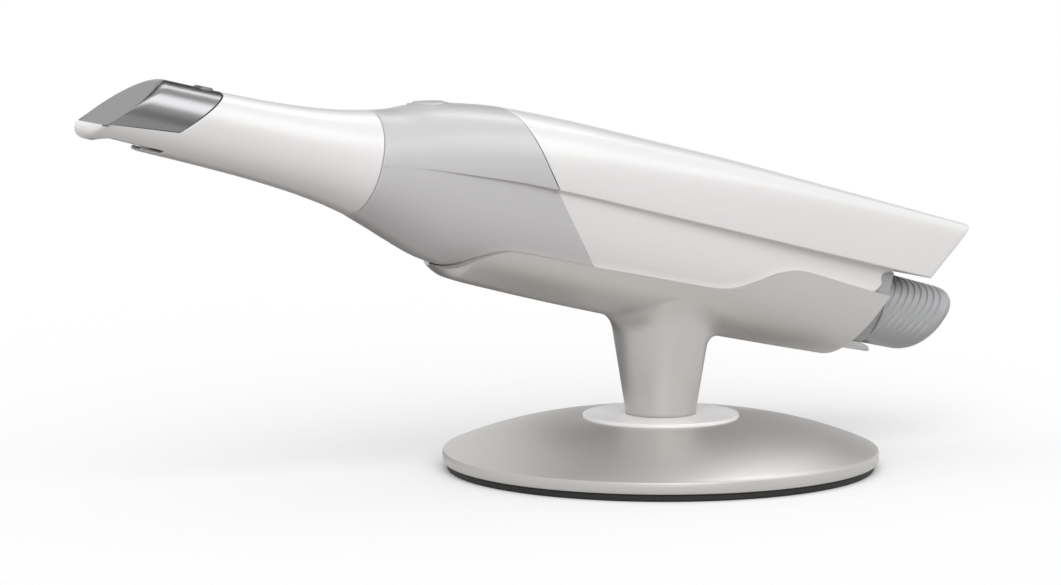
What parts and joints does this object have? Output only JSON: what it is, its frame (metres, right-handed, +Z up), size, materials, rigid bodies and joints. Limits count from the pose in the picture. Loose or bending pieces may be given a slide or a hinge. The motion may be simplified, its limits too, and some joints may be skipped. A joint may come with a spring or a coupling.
{
  "type": "intraoral scanner",
  "caption": "Wireless intraoral scanner with a removable mirror tip, scan button and ribbed battery, resting nose-up in a silver desktop cradle on a round weighted base.",
  "frame": {"origin": "centre of the foot's underside, on the surface that the stand rests on", "axes": "+Z up, -X towards the nose of the scanner, +X towards its battery, +Y completes a right-handed frame and is the scanner's far side in the picture"},
  "size_m": [0.2683, 0.12, 0.114],
  "materials": {
    "white_gloss": "satin",
    "light_grey": "satin",
    "battery_grey": "satin",
    "black_plastic": "matte",
    "polished_metal": "polished",
    "silver": "satin",
    "black_anodised": "satin",
    "bare_aluminium": "satin",
    "steel": "satin",
    "copper": "satin",
    "gold": "satin",
    "clear_glass": "gloss",
    "mirror_glass": "polished",
    "board_green": "satin",
    "chip_black": "satin",
    "cell_wrap": "satin",
    "rubber": "matte"
  },
  "bodies": {
    "stand_and_handpiece": {"front_shell": "light_grey", "top_shell": "white_gloss", "lower_shell": "white_gloss", "button_bezel": "white_gloss", "button_switch": "chip_black", "button_board": "board_green", "nose_barrel": "black_anodised", "barrel_window": "clear_glass", "barrel_seal": "rubber", "lens_tube": "black_anodised", "front_lens": "clear_glass", "relay_lens": "clear_glass", "guide_rods": "steel", "focus_magnet": "steel", "beam_splitter": "clear_glass", "light_source": "chip_black", "led_board": "board_green", "heat_sink": "bare_aluminium", "sensor_board": "board_green", "image_sensor": "chip_black", "chassis": "bare_aluminium", "main_board": "board_green", "processor": "chip_black", "radio_module": "steel", "board_screws": "steel", "battery_bay": "battery_grey", "contact_pins": "gold", "cradle": "silver", "base_cover": "silver", "base_weight": "steel", "base_foot": "rubber", "collar_ring": "white_gloss", "stem_bolt": "steel", "stem_washer": "steel"},
    "tip": {"tip_sleeve": "white_gloss", "mirror_cap": "polished_metal", "tip_liner": "black_plastic", "tip_mirror": "mirror_glass", "tip_bushing": "black_plastic"},
    "battery": {"battery_case": "battery_grey", "battery_cell": "cell_wrap", "battery_board": "board_green", "battery_pads": "gold"},
    "focus": {"focus_carriage": "black_anodised", "focus_lens": "clear_glass", "focus_coil": "copper"},
    "button": {"button_cap": "light_grey"}
  },
  "joints": [
    {"name": "tip_pull", "type": "slide", "parent": "stand_and_handpiece", "child": "tip", "axis": [-0.9681, 0, 0.2504], "range_m": [0, 0.06]},
    {"name": "battery_pull", "type": "slide", "parent": "stand_and_handpiece", "child": "battery", "axis": [0.9681, 0, -0.2504], "range_m": [0, 0.055]},
    {"name": "focus_travel", "type": "slide", "parent": "stand_and_handpiece", "child": "focus", "axis": [0.9681, 0, -0.2504], "range_m": [-0.003, 0.003], "stiffness_N_per_m": 60},
    {"name": "button_press", "type": "slide", "parent": "stand_and_handpiece", "child": "button", "axis": [0.0087, 0, -1], "range_m": [0, 0.0008], "stiffness_N_per_m": 500}
  ]
}
